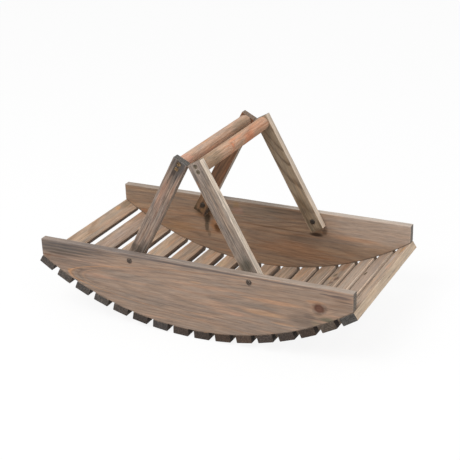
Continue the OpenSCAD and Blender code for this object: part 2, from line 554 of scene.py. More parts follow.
@dataclass(frozen=True)
class StainAndShade:
    """Soft patch of another colour, with its place and half sizes in millimetres. Most are
    stains in the wood, and some are painted shade and shadows, marked where they stand.

    streaky is how far the streaks pull its rim in and out. piece, where given, is the number of
    the only piece that has it.
    """

    along: float
    across: float
    reach_along: float
    reach_across: float
    colour: Colour
    strength: float
    face: Face = Face.SEEN
    streaky: float = 1.6
    piece: int = 0


@dataclass(frozen=True)
class Flame:
    """Nested flame-shaped lines of grain that open to the right from a tip. In millimetres.

    bend is how fast the lines curve away from the tip, and lean slants them.
    """

    along: float
    across: float
    colour: Colour
    strength: float
    gap: float
    reach: float
    bend: float = 0.15
    lean: float = 0.6


@dataclass(frozen=True)
class Block:
    """Where a piece's wood ends, in millimetres in its own axes, so its edges can be told.

    arc_middle and arc_radius, where given, are the place across the piece and the radius of
    its curved lower edge.
    """

    along: tuple[float, float]
    across: tuple[float, float]
    half_thickness: float
    arc_middle: float = 0.0
    arc_radius: float = 0.0


@dataclass(frozen=True)
class Noise:
    """Noise stretched along the grain.

    along and across are its bumps to a millimetre, and corner is where in the noise it starts.
    """

    along: float
    across: float
    corner: tuple[float, float]
    detail: float = 3.0
    roughness: float = 0.6


SLOW_BEND = Noise(0.006, 0.03, (3.1, 7.7), 2.0, 0.5)
QUICK_BEND = Noise(0.012, 0.05, (9.3, 1.9), 2.0, 0.5)
KNOT_RIM = Noise(0.11, 0.15, (7.3, 2.9), 2.0, 0.5)
STREAKS = Noise(0.009, 0.24, (1.0, 2.0), roughness=0.55)
GRAIN = Noise(0.04, 0.6, (4.0, 1.0), roughness=0.65)
FIBRES = Noise(0.06, 1.9, (0.0, 9.0), 4.0, 0.65)
WASH = Noise(0.012, 0.11, (5.0, 4.0))
GLOW = Noise(0.011, 0.15, (8.0, 6.0), 2.0, 0.5)
HUES = Noise(0.03, 0.2, (2.0, 5.0))
SPLITS = Noise(0.017, 0.85, (6.0, 3.0))
SPECKS = Noise(1.3, 1.3, (2.0, 8.0))
MOTTLE = Noise(0.42, 0.42, (7.0, 7.0), roughness=0.7)


@dataclass(frozen=True)
class WoodFinish:
    """Weathered, grey-washed pine. Lengths are in millimetres.

    spring and summer are the woods of a year ring, grey is the wash over them, warm shows
    through it, crack is in the splits, edge is the colour of the narrow faces and end that of
    the sawn ends. The edge colour is partly the wood's own and partly painted light, paler on
    narrow faces that face the light. The tree's pith lies that far across and out of the face,
    and drifts along the grain. The rings wander slowly and wobble quickly, and summer wood
    starts at late in a ring.
    The shares are the strengths of the colours. fibre, streaks, grain and hue are the heights of
    the light and dark, or warm and cool, in the wood, and fine makes streaks and grain finer.
    rubbed lightens worn corners, and seam is the strength of painted shade along a curved lower
    edge, where the board meets the slats. seed picks the noise.
    """

    name: str
    spring: Colour
    summer: Colour
    grey: Colour
    warm: Colour
    pith: tuple[float, float]
    ring_gap: float
    fine: float
    streaks: float
    grain: float
    seed: float
    crack: Colour = "#544a44"
    edge: Colour = "#baaea0"
    end: Colour = "#4e4640"
    drift: tuple[float, float] = (0.0, 0.05)
    wander: float = 14.0
    wobble: float = 1.8
    summer_share: float = 0.75
    grey_share: float = 0.6
    warm_share: float = 0.5
    crack_share: float = 0.6
    edge_share: float = 0.7
    fibre: float = 0.3
    late: float = 0.4
    hue: float = 0.1
    rubbed: float = 0.5
    seam: float = 0.0
    knots: tuple[Knot, ...] = ()
    stains_and_shades: tuple[StainAndShade, ...] = ()
    flames: tuple[Flame, ...] = ()


@dataclass
class WoodShader:
    """Builds a wood finish as shader nodes on a piece's own axes.

    Pieces that share their axes have a number each, from 1, and are apart in the noise. veil is
    a share of grey over all. mark_depth is how deep under a face its marks are gone, and where
    they are still whole. relief is the full height of the grain in millimetres.
    """

    finish: WoodFinish
    block: Block
    number: Wire | None = None
    veil: Value = 0.0
    apart: Triple = (911.0, 173.0, 131.0)
    mark_depth: tuple[float, float] = (2.2, 1.2)
    smoothest: float = 0.74
    roughest: float = 0.9
    relief: float = 0.22
    graph: Graph = field(init=False)
    edge: Wire | Colour = field(init=False)
    end: Wire = field(init=False)
    point: tuple[Wire, ...] = field(init=False)
    pattern: Wire = field(init=False)
    streak: Wire = field(init=False)
    faces: dict[Face, Value] = field(init=False)

    def __post_init__(self) -> None:
        """Starts the material."""
        self.graph = Graph(bpy.data.materials.new(self.finish.name))
        self.edge = self.finish.edge
        self.end = self.graph.constant(self.finish.end)

    def on_frame(self, frame_: PieceFrame) -> bpy.types.Material:
        """Dresses a piece that has axes of its own."""
        point = self.graph.place(frame_)
        return self.dress(point, point)

    def numbered(self, point: Wire) -> bpy.types.Material:
        """Dresses many pieces that share axes, each with its own grain and depth of colour.

        Args:
            point: place in millimetres in the piece's own axes.

        Returns:
            The finished material.
        """
        before = self.number - 1.0
        row = self.graph.vector(before, before, before)
        pattern = row.stretch(self.apart, point)
        return self.dress(point, pattern, before.draw("Value") - 0.5)

    def noise(self, noise: Noise, fine: float = 1.0) -> Wire:
        """Noise at the shaded point.

        Args:
            noise: which noise.
            fine: factor that makes it finer.

        Returns:
            The noise, from 0 to 1.
        """
        across = noise.across * fine
        corner = (self.finish.seed, *noise.corner)
        point = self.pattern.stretch((noise.along * fine, across, across), corner)
        return point.noise(noise.detail, noise.roughness)

    def marks(self) -> tuple[Value, list[Wire]]:
        """Distances to the knots, and what they add to the distance from the pith.

        The grain swells round a knot by a bell curve of the distance from it, stretched to
        twice its width along the grain. The knot itself is 1.25 times as long as wide, and
        noise keeps its rim from being perfectly round.

        Returns:
            The swelling, and for each knot the distance over its radius.
        """
        g = self.graph
        rough = self.noise(KNOT_RIM).centred(0.5)
        swell: Value = 0.0
        distances = []
        for knot in self.finish.knots:
            dx = (self.point[0] - knot.along) * (1.0 / knot.radius)
            dy = (self.point[1] - knot.across) * (1.0 / knot.radius)
            near = g.hypot(dx * 0.5, dy)
            swell = g.math("EXPONENT", near * near * -0.45).scaled(knot.swirl, swell)
            distances.append(g.hypot(dx * 0.8, dy) + rough)
        return swell, distances

    def rings(self, shift: Value) -> tuple[Wire, list[Wire]]:
        """Summer wood of the year rings.

        A ring's number is the distance from the tilted pith over the ring gap, bent by slow
        noise. Summer wood is where the number's fraction is near 1: a slow rise and a fast fall.

        Args:
            shift: number that differs from piece to piece.

        Returns:
            Darkness of the ring from 0 to 1, and each knot's distance over its radius.
        """
        g, f = self.graph, self.finish
        x, y, z = self.point
        swell, distances = self.marks()
        side = y - f.pith[0] - x * f.drift[0] + self.noise(SLOW_BEND).centred(f.wander)
        deep = z - f.pith[1] - x * f.drift[1]
        away = g.hypot(side + shift * 17.0, deep) + self.noise(QUICK_BEND).centred(f.wobble)
        turn = (away + swell) * (1.0 / f.ring_gap)
        uneven = g.vector(turn * 0.31, f.seed, 0.0).noise(1.0, 0.5)
        part = g.math("FRACT", turn + uneven * 1.5)
        ring = g.math("MINIMUM", part.rise(f.late, 0.86), part.fall(0.9, 1.0))
        return ring * uneven.scaled(1.3, 0.05), distances

    def edges(self) -> tuple[Wire, Wire, Wire, Value]:
        """Tells the narrow faces, the ends and the corners by the distance from where wood ends.

        Returns:
            Masks of the narrow faces, of the ends, of the worn corners between the faces, and
            of the painted shade along a curved lower edge.
        """
        g, b = self.graph, self.block
        x, y, z = self.point
        from_side = y.inside(*b.across)
        from_end = x.inside(*b.along)
        from_face = z.inside(-b.half_thickness, b.half_thickness)
        seam: Value = 0.0
        if b.arc_radius:
            from_arc = b.arc_radius - g.hypot(x, y - b.arc_middle)
            from_side = g.math("MINIMUM", from_side, from_arc)
            # Painted contact shade: a dark line along the curved lower edge, where the slats meet
            # it.
            seam = from_arc.fall(0.6, 1.8) * self.finish.seam
        nearest = g.math("MINIMUM", from_side, from_face)
        farthest = g.math("MAXIMUM", from_side, from_face)
        end_corner = from_end.fall(0.4, 2.4) * nearest.fall(0.0, 2.0)
        corner = g.math("MAXIMUM", farthest.fall(0.3, 1.9), end_corner)
        flank = from_side.fall(0.15, 0.7)
        return flank, from_end.fall(0.1, 0.55), corner * (1.0 - seam), (1.0 - flank) * seam

    def dress(self, point: Wire, pattern: Wire, shift: Value = 0.0) -> bpy.types.Material:
        """Adds the whole finish.

        Args:
            point: place in millimetres in the piece's own axes.
            pattern: place in millimetres in the noise.
            shift: number from -0.5 to 0.5 that differs from piece to piece.

        Returns:
            The finished material.
        """
        g, f = self.graph, self.finish
        self.point = point.split()
        self.pattern = pattern
        self.streak = self.noise(STREAKS, f.fine)
        fibre = self.noise(FIBRES)
        ring, distances = self.rings(shift)
        flank, end, corner, seam = self.edges()
        colour = g.mix(ring * f.summer_share, f.spring, f.summer)
        colour = g.mix(self.noise(GLOW).rise(0.5, 0.72) * f.warm_share, colour, f.warm)
        colour = g.mix(self.noise(WASH).rise(0.36, 0.66) * f.grey_share, colour, f.grey)
        colour = g.mix(self.veil, colour, f.grey)
        # Narrow faces take the edge colour, partly their own and partly painted light.
        sawn_side = flank * self.streak.scaled(1.1, f.edge_share - 0.55)
        colour = self.marked(g.mix(sawn_side, colour, self.edge))
        cracks = self.noise(SPLITS).rise(0.6, 0.72) * f.crack_share
        # Real cracks, then the painted contact shade along the lower edge, both in the crack colour.
        colour = g.mix(seam, g.mix(cracks, colour, f.crack), f.crack)
        height = ring * 0.35 + fibre * 0.55 - cracks * 0.9
        for knot, away in zip(f.knots, distances):
            colour, height = self.knot(knot, away, colour, height, fibre)
        colour = g.mix(end, colour, self.end_grain(ring))

        hue = self.noise(HUES)
        colour = colour.tinted(hue.scaled(2.0 * f.hue, 1.0 - f.hue),
                               hue.scaled(-2.0 * f.hue, 1.0 + f.hue))
        level = fibre.scaled(2.0 * f.fibre, 1.0 - f.fibre) + self.streak.centred(f.streaks)
        level = level + self.noise(GRAIN, f.fine).centred(f.grain) + shift * 0.22
        rubbed = corner * self.noise(SPECKS).scaled(f.rubbed, -0.2 * f.rubbed)
        roughness = fibre.scaled(self.roughest - self.smoothest, self.smoothest)
        return g.finish(colour.shaded(level + rubbed), roughness, height, self.relief)

    def end_grain(self, ring: Wire) -> Wire:
        """Returns the mottled colour of the sawn ends, darker in the rings."""
        mottled = self.graph.mix(self.noise(MOTTLE).rise(0.4, 0.64), self.end.shaded(0.78),
                                 self.end.shaded(1.6))
        return self.graph.mix(ring * 0.6, mottled, self.end.shaded(0.6))

    def marked(self, colour: Wire) -> Wire:
        """Lays the stains and painted shades, and then the flames, over a colour.

        Args:
            colour: colour so far.

        Returns:
            The new colour.
        """
        gone, whole = (self.block.half_thickness - depth for depth in self.mark_depth)
        seen, hidden = ((self.point[2] * face.value).rise(gone, whole)
                        for face in (Face.SEEN, Face.HIDDEN))
        self.faces = {Face.SEEN: seen, Face.HIDDEN: hidden, Face.BOTH: 1.0}
        for stain_and_shade in self.finish.stains_and_shades:
            colour = self.graph.mix(self.stain_and_shade(stain_and_shade), colour, stain_and_shade.colour)
        for flame in self.finish.flames:
            colour = self.graph.mix(self.flame(flame), colour, flame.colour)
        return colour

    def stain_and_shade(self, stain_and_shade: StainAndShade) -> Wire:
        """Mask of a patch: an ellipse whose rim the streaks pull in and out.

        Args:
            stain_and_shade: the patch.

        Returns:
            Its mask, from 0 to its strength.
        """
        x, y, _ = self.point
        dx = x.scaled(1.0 / stain_and_shade.reach_along, -stain_and_shade.along / stain_and_shade.reach_along)
        dy = y.scaled(1.0 / stain_and_shade.reach_across, -stain_and_shade.across / stain_and_shade.reach_across)
        away = self.graph.hypot(dx, dy) + self.streak.centred(stain_and_shade.streaky)
        mask = away.fall(0.45, 1.15) * stain_and_shade.strength * self.faces[stain_and_shade.face]
        if stain_and_shade.piece:
            mask = mask * self.graph.math("COMPARE", self.number, stain_and_shade.piece, 0.5)
        return mask

    def flame(self, flame: Flame) -> Wire:
        """Mask of the nested lines of a flame.

        How deep a point is behind the first line is its distance along the grain from the tip,
        less a parabola of its distance across. Each line is sharp outside and fades inwards.

        Args:
            flame: the flame.

        Returns:
            Its mask, from 0 to its strength.
        """
        x, y, _ = self.point
        side = y - flame.across
        deep = x - flame.along - side * side.scaled(flame.bend, flame.lean)
        deep = deep + self.streak.centred(8.0)
        part = self.graph.math("FRACT", deep * (1.0 / flame.gap))
        line = part.fall(0.05, 0.5) * deep.rise(-0.5, 0.8)
        near = deep.fall(0.35 * flame.reach, flame.reach)
        return line * near * self.faces[Face.SEEN] * flame.strength

    def knot(self, knot: Knot, away: Wire, colour: Wire, height: Wire,
             fibre: Wire) -> tuple[Wire, Wire]:
        """Adds a knot: dark rings inside its radius, a darker rim and a pale halo round it.

        Args:
            knot: the knot.
            away: distance from the knot's middle over its radius.
            colour: colour so far.
            height: relief so far.
            fibre: fine noise.

        Returns:
            The new colour and relief.
        """
        g = self.graph
        halo = away.rise(0.95, 1.25) * away.fall(1.3, 2.3)
        colour = g.mix(halo * knot.halo, colour, self.finish.warm)
        turns = g.math("SINE", away * (1.2 * FULL))
        inside = away.fall(knot.hard, 1.1)
        core = g.mix(turns.scaled(0.25, 0.3), knot.core, g.constant(knot.core).shaded(1.6))
        colour = g.mix(inside, colour, core.shaded(fibre.scaled(0.6, 0.7)))
        rim = away.rise(0.75, 1.0) * away.fall(1.02, 1.3)
        return g.mix(rim * knot.rim, colour, self.finish.crack), height + inside * 0.5


@dataclass(frozen=True)
class MetalFinish:
    """Small hardware: a base colour, a second colour in the grime or wear, and roughness.

    The noises count in bumps to a millimetre, and relief is the depth of the scratches.
    """

    name: str
    base: Colour
    worn: Colour
    roughness: float
    metallic: float = 1.0
    clouds: float = 0.6
    scratches: float = 3.5
    relief: float = 0.03

    def material(self) -> bpy.types.Material:
        """Cloudy noise mixes the two colours, and fine noise scratches them.

        Returns:
            The finished material.
        """
        g = Graph(bpy.data.materials.new(self.name))
        point = g.place(CAD_FRAME)
        cloud, scratch = (point.stretch((bumps, bumps, bumps)).noise(3.0, 0.6)
                          for bumps in (self.clouds, self.scratches))
        colour = g.mix(cloud.rise(0.4, 0.68), self.base, self.worn).shaded(scratch.scaled(0.5, 0.75))
        roughness = cloud.scaled(0.3, self.roughness - 0.15)
        return g.finish(colour, roughness, scratch, self.relief, self.metallic, 0.5)


def add_piece(surface: Surface, name: str, material: bpy.types.Material, body: str,
              node: str) -> None:
    """Args:
        surface: its shells, in place.
        name: its name.
        material: its material.
        body: name of the body that it rides on.
        node: the CAD node that it stands for.
    """
    piece = surface.to_object(name)
    piece.data.materials.append(material)
    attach(piece, body)
    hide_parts(node)
    LOG.info("%s: %d faces on %s", name, len(piece.data.polygons), body)


def dress_node(name: str, material: bpy.types.Material) -> None:
    """Gives a CAD node its material in every slot.

    Args:
        name: the node's name.
        material: the material.
    """
    node = frame["nodes"][name]
    if not node.material_slots:
        node.data.materials.append(material)
    for slot in node.material_slots:
        slot.material = material
    LOG.info("%s: CAD node with %s", name, material.name)


@dataclass
class SideBoard:
    """One D-shaped side board. Its axes: X along the tray, Y up from the top edge."""

    side: Side
    finish: WoodFinish
    seed: int
    length: float = 500 * MM
    thickness: float = 12 * MM
    end_height: float = 27.5 * MM
    mid_height: float = 105 * MM
    top_z: float = field(init=False)
    middle_y: float = field(init=False)

    def __post_init__(self) -> None:
        """Reads where the board stands from the CAD node."""
        low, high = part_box(f"{self.name}_board")
        self.top_z = high.z
        self.middle_y = 0.5 * (low.y + high.y)

    @property
    def name(self) -> str:
        """Front or back, as the CAD nodes say it."""
        return self.side.name.lower()

    @property
    def arc_radius(self) -> float:
        """Radius of the lower edge: one arc through both end corners and the lowest point."""
        rise = self.mid_height - self.end_height
        return ((0.5 * self.length) ** 2 + rise ** 2) / (2.0 * rise)

    @property
    def arc_middle_z(self) -> float:
        """Height of the middle of that arc."""
        return self.top_z - self.mid_height + self.arc_radius

    def build(self) -> None:
        """Carries the section along the board: its height ends on the arc below."""
        half = 0.5 * self.length / MM
        fine = half - 12
        stations = spaced((-half, -fine, 1.5), (-fine, fine, 3.0), (fine, half, 1.5))
        drop = np.sqrt(self.arc_radius ** 2 - stations ** 2) - self.arc_radius
        height = self.mid_height + drop
        bar = SawnBar(stations, 0.5 * height, -0.5 * height, 0.5 * self.thickness, inner(40),
                      self.seed, edge_points=7, edge_radius=1.2 * MM, end_radius=0.8 * MM)
        axes = PieceFrame((0.0, self.middle_y, self.top_z), (1.0, 0.0, 0.0), (0.0, 0.0, 1.0))
        far_below = -2000.0
        block = Block((-half, half), (far_below, 0.0), 0.5 * self.thickness / MM,
                      (self.arc_radius - self.mid_height) / MM, self.arc_radius / MM)
        add_piece(bar.surface(axes), f"{self.name}_side_board",
                  WoodShader(self.finish, block).on_frame(axes), "tray",
                  f"{self.name}_board")


@dataclass
class FloorSlats:
    """The sixteen slats across the curved lower edges of the boards.

    The colours of the narrow faces and ends change along the floor, and the narrow faces carry
    painted shade and painted light. Where the colours change is counted in slats, from 0 at the
    first one.
    """

    arc_radius: float
    arc_middle_z: float
    finish: WoodFinish
    count: int = 16
    length: float = 258 * MM
    width: float = 24.5 * MM
    thickness: float = 12 * MM
    nail_from_end: float = 6 * MM
    nail_spacing: float = 12 * MM
    nail_head: float = 3.2 * MM
    nail_sunk: float = 0.3 * MM
    face_points: int = 36
    first_seed: int = 201
    under_board: float = 11.5 * MM
    outer_edge: Colour = "#c0ab94"
    # The next six colours are painted shade and painted light on the slats' narrow faces.
    left_edge_shade: Colour = "#846e5d"
    right_edge_light: Colour = "#ecd4be"
    low_edge_shade: Colour = "#54463c"
    gap_shade_edge: Colour = "#42362e"
    front_board_shade: Colour = "#2e2520"
    back_board_shade: Colour = "#96806e"
    left_end: Colour = "#574c44"
    right_end: Colour = "#4c443d"
    end_draw: float = 3165.0
    right_veil: float = 0.3

    def lean(self, number: int) -> float:
        """Angle of a slat round the middle of the arc, from its CAD node."""
        low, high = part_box(f"slat_{number:02d}")
        return math.atan2(0.5 * (low.x + high.x), self.arc_middle_z - 0.5 * (low.z + high.z))

    def axes(self, lean: float) -> PieceFrame:
        """Axes of a slat: X across the tray, out of the face is up.

        Args:
            lean: its angle round the middle of the arc.

        Returns:
            The axes.
        """
        out = self.arc_radius + 0.5 * self.thickness
        origin = (out * math.sin(lean), 0.0, self.arc_middle_z - out * math.cos(lean))
        return PieceFrame(origin, (0.0, 1.0, 0.0), (-math.cos(lean), 0.0, -math.sin(lean)))

    def build(self) -> None:
        """Builds every slat, with shallow recesses for its nail heads in the lower face."""
        half = 0.5 * self.length / MM
        fine = half - 9
        stations = spaced((-half, -fine, 0.5), (-fine, fine, 6.0), (fine, half, 0.5))
        flat = np.full(len(stations), 0.5 * self.width)
        reach = 0.5 * self.length - self.nail_from_end
        recesses = tuple(
            Recess(side * reach, step * 0.5 * self.nail_spacing, Face.HIDDEN,
                   0.5 * self.nail_head, self.nail_sunk)
            for side in (-1, 1) for step in (-1, 1))
        material = self.material()
        for number in range(1, self.count + 1):
            bar = SawnBar(stations, flat, 0.0 * flat, 0.5 * self.thickness,
                          inner(self.face_points), self.first_seed + number - 1, edge_points=4,
                          edge_radius=0.9 * MM, edge_wear=0.35 * MM, end_radius=0.5 * MM,
                          recesses=recesses, corner_steps=3)
            add_piece(bar.surface(self.axes(self.lean(number))), f"floor_slat_{number:02d}",
                      material, "tray", f"slat_{number:02d}")

    def material(self) -> bpy.types.Material:
        """One material for all the slats, on axes that follow the curve of the floor.

        The angle round the arc's middle, counted in slats from the first one, rounds to the
        slat's number. What is left of it, times the arc radius, is the place across the slat,
        and the distance from the middle of the arc gives the depth. Each number moves the
        grain and the tint to another part of the noise. The narrow faces carry painted shade and
        light: darker towards the left end of the floor, paler towards the right, and darkest
        where a board covers them.

        Returns:
            The material.
        """
        first = self.lean(1)
        pitch = self.lean(2) - first
        half = 0.5 * self.length / MM
        half_width = 0.5 * self.width / MM
        shader = WoodShader(self.finish, Block((-half, half), (-half_width, half_width),
                                               0.5 * self.thickness / MM))
        g = shader.graph
        x, y, z = g.place(CAD_FRAME).split()
        up = self.arc_middle_z / MM - z
        turn = (g.math("ARCTAN2", x, up) - first) * (1.0 / pitch)
        number = g.math("ROUND", turn)
        rest = (number - turn) * pitch
        out = g.hypot(x, up)
        across = out * g.math("SINE", rest)
        deep = (self.arc_radius + 0.5 * self.thickness) / MM - out * g.math("COSINE", rest)
        shader.edge = self.edges(g, turn, y, deep)
        shader.end = self.ends(g, turn, number)
        shader.veil = turn.rise(9.0, 13.0) * self.right_veil
        shader.number = number + 1.0
        return shader.numbered(g.vector(y, across, deep))

    def edges(self, g: Graph, turn: Wire, y: Wire, deep: Wire) -> Wire:
        """Colour of the narrow faces, with painted shade and painted light on them.

        Args:
            g: the material's graph.
            turn: place along the floor, counted in slats.
            y: place along the slat in millimetres.
            deep: place out of the slat's face in millimetres.

        Returns:
            The colour: painted shade low down, under the boards and below a line that rises
            to the right, and pale outside the end slats.
        """
        # Painted shade and light: dark narrow faces on the left slats, pale ones on the right.
        edge = g.mix(turn.rise(7.0, 11.0), self.left_edge_shade, self.right_edge_light)
        # Painted shade on the lower part of each narrow face, down in the gap.
        edge = g.mix(deep.fall(-2.0, 3.0) * 0.7, edge, self.low_edge_shade)
        # Painted shade of the gaps: darker below a line that rises to the right.
        gap_shade_line = turn.scaled(0.92, -9.1)
        gap_shade = (deep - gap_shade_line).fall(-0.7, 0.2) * turn.rise(8.5, 10.5)
        edge = g.mix(gap_shade * 0.3, edge, self.gap_shade_edge)
        # Painted shade where the boards cover the narrow faces: deep under the front board, light
        # under the back.
        board_face = (0.5 * self.length - self.under_board) / MM
        covered = abs(y).rise(board_face - 1.0, board_face + 1.0)
        cover = g.mix(y.rise(-10.0, 10.0), self.front_board_shade, self.back_board_shade)
        middle = 0.5 * (self.count - 1)
        slat_side = middle + 0.26
        outer = abs(turn - middle).rise(slat_side - 0.02, slat_side + 0.02)
        return g.mix(outer, g.mix(covered, edge, cover), self.outer_edge)

    def ends(self, g: Graph, turn: Wire, number: Wire) -> Wire:
        """Colour of the sawn ends: lighter to the left, and each slat's own depth and warmth.

        Args:
            g: the material's graph.
            turn: place along the floor, counted in slats.
            number: the slat's number, from 0.

        Returns:
            The colour.
        """
        depth, warmth, _ = (number + self.end_draw).draw("Color").split()
        colour = g.mix(turn.rise(2.0, 6.0), self.left_end, self.finish.end)
        colour = g.mix(turn.rise(13.2, 13.9), colour, self.right_end)
        return colour.shaded(depth.scaled(0.4, 0.8)).tinted(warmth.scaled(0.3, 0.85),
                                                            warmth.scaled(-0.3, 1.15))


@dataclass
class SwingHandle:
    """One swinging handle: two arms and a round grip, leaning on the other handle at rest.

    Its axes start at the pivot: X up along the arms, out of the face points to the front. The
    grip's radius is uneven in long slanted waves, with fine turning marks.
    """

    end: End
    arm_finishes: dict[Side, WoodFinish]
    grip_finish: WoodFinish
    arm_length: float = 197 * MM
    arm_width: float = 23 * MM
    arm_thickness: float = 12 * MM
    pivot_to_arm_end: float = 16 * MM
    screw_spacing: float = 8.4 * MM
    screw_head: float = 6.6 * MM
    screw_shank: float = 3.4 * MM
    screw_sunk: float = 0.8 * MM
    grip_radius: float = 10 * MM
    grip_points: int = 72
    grip_rings: int = 120
    grip_uneven: float = 0.06 * MM
    grip_marks: float = 0.02 * MM
    arm_seed: int = 300
    grip_seed: int = 400
    pivot: Vector = field(init=False)
    grip_middle: Vector = field(init=False)
    reach: Vector = field(init=False)

    def __post_init__(self) -> None:
        """Reads the pivot from the joint, and where the grip is from its CAD node."""
        joint = next(j for j in frame["joints"] if j["name"] == f"{self.name}_handle_fold")
        self.pivot = Vector(joint["pos_m"])
        low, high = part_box(f"{self.name}_grip")
        self.grip_middle = 0.5 * (low + high)
        self.reach = self.grip_middle - Vector((self.pivot.x, 0.0, self.pivot.z))

    @property
    def name(self) -> str:
        """Left or right, as the CAD nodes say it."""
        return self.end.name.lower()

    def arm(self, side: Side) -> None:
        """Builds one arm: a bar with two countersunk screw holes in its outer face.

        Args:
            side: which side of the tray it is on.
        """
        node = f"{self.name}_{side.name.lower()}"
        box_low, box_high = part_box(f"{node}_arm")
        up = self.reach.normalized()
        axes = PieceFrame((self.pivot.x, 0.5 * (box_low.y + box_high.y), self.pivot.z),
                          tuple(up), tuple(up.cross(Vector((0.0, 1.0, 0.0)))))
        low, high = -self.pivot_to_arm_end / MM, (self.arm_length - self.pivot_to_arm_end) / MM
        screws = self.reach.length / MM
        under, over = screws - 9, screws + 9
        stations = spaced((low, low + 3, 1.0), (low + 3, under, 3.0), (under, over, 0.35),
                          (over, high, 1.0))
        flat = np.full(len(stations), 0.5 * self.arm_width)
        recesses = tuple(
            Recess(self.reach.length + step * 0.5 * self.screw_spacing, 0.0,
                   Face.SEEN if side is Side.FRONT else Face.HIDDEN, 0.5 * self.screw_head,
                   self.screw_sunk, 0.5 * (self.screw_head - self.screw_shank))
            for step in (-1, 1))
        head_edge, rim = 0.42, 0.96
        face_points = np.concatenate([np.linspace(-rim, -head_edge, 8)[:-1],
                                      np.linspace(-head_edge, head_edge, 27),
                                      np.linspace(head_edge, rim, 8)[1:]])
        bar = SawnBar(stations, flat, 0.0 * flat, 0.5 * self.arm_thickness, face_points,
                      self.arm_seed + 10 * self.end.value + side.value, recesses=recesses)
        half_width = 0.5 * self.arm_width / MM
        block = Block((low, high), (-half_width, half_width), 0.5 * self.arm_thickness / MM)
        add_piece(bar.surface(axes), f"{node}_handle_arm",
                  WoodShader(self.arm_finishes[side], block).on_frame(axes),
                  f"{self.name}_handle", f"{node}_arm")

    def grip(self) -> None:
        """Builds the grip: rings of uneven radius along it, and three flat ones at each end."""
        low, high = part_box(f"{self.name}_grip")
        half = 0.5 * (high.y - low.y)
        rng = np.random.default_rng(self.grip_seed + self.end.value)
        along = np.linspace(-half, half, self.grip_rings)
        angle = np.arange(self.grip_points) * FULL / self.grip_points
        bent = along[:, None] + 20 * MM * np.cos(angle) + 11 * MM * np.sin(2.0 * angle)
        uneven = self.grip_uneven * waves(rng, bent, 60 * MM)
        marks = self.grip_marks * waves(rng, along, 6 * MM, 4)
        radius = self.grip_radius + uneven + marks[:, None]
        ends = np.array([[0.0], [0.5], [0.93]])
        radius = np.concatenate([ends * radius[:1], radius, ends[::-1] * radius[-1:]])
        x = np.concatenate([[-half] * 3, along, [half] * 3])[:, None] + 0.0 * radius
        rings = np.stack([x, radius * np.cos(angle), radius * np.sin(angle)], -1)
        axes = PieceFrame(tuple(self.grip_middle), (0.0, 1.0, 0.0), (-1.0, 0.0, 0.0))
        reach = half / MM + 5
        no_edge = 60.0
        block = Block((-reach, reach), (-no_edge, no_edge), no_edge)
        add_piece(Surface.tube(axes.place(rings)), f"{self.name}_handle_grip",
                  WoodShader(self.grip_finish, block).on_frame(axes), f"{self.name}_handle",
                  f"{self.name}_grip")

    def build(self) -> None:
        """Builds both arms and the grip."""
        for side in Side:
            self.arm(side)
        self.grip()


